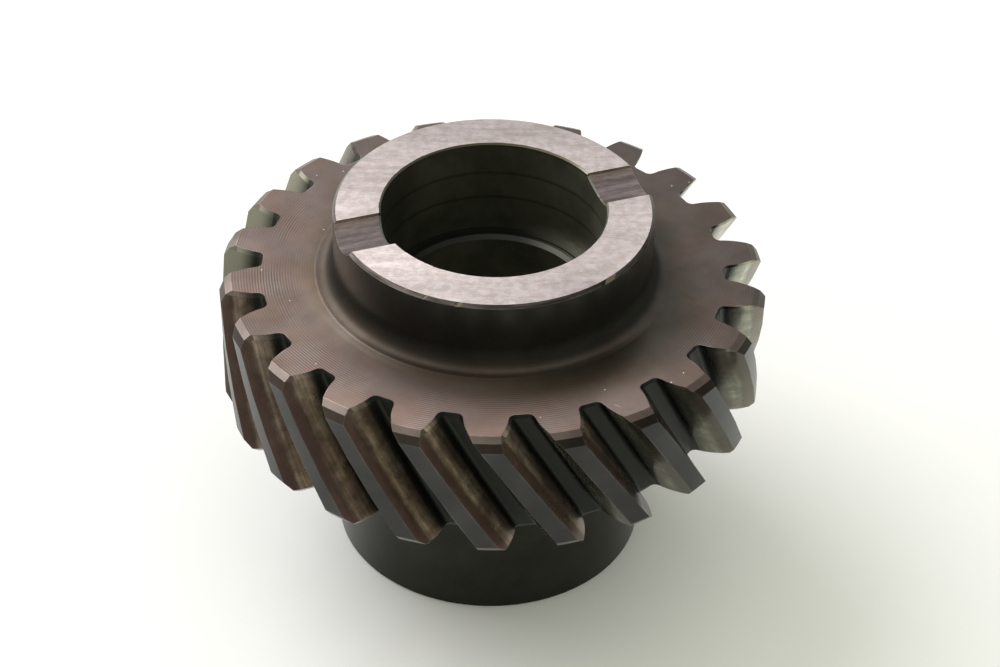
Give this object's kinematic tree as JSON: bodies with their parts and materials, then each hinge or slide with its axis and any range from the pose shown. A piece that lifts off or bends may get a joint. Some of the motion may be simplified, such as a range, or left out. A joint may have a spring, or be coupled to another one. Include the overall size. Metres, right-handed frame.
{
  "type": "helical gear",
  "caption": "Left-hand helical gear with a cross-slotted hub on one side, a longer plain hub on the other and a stepped shaft bore.",
  "frame": {"origin": "centre of the lower hub's end face", "axes": "+Z along the shaft axis towards the slotted hub, X along the two slots"},
  "size_m": [0.0832, 0.0832, 0.0597],
  "materials": {
    "helical_gear": "ground hub end face, fine turned faces and hubs, hobbed flanks with a light oil tint"
  },
  "bodies": {
    "root": {"helical_gear": "helical_gear"}
  },
  "joints": []
}
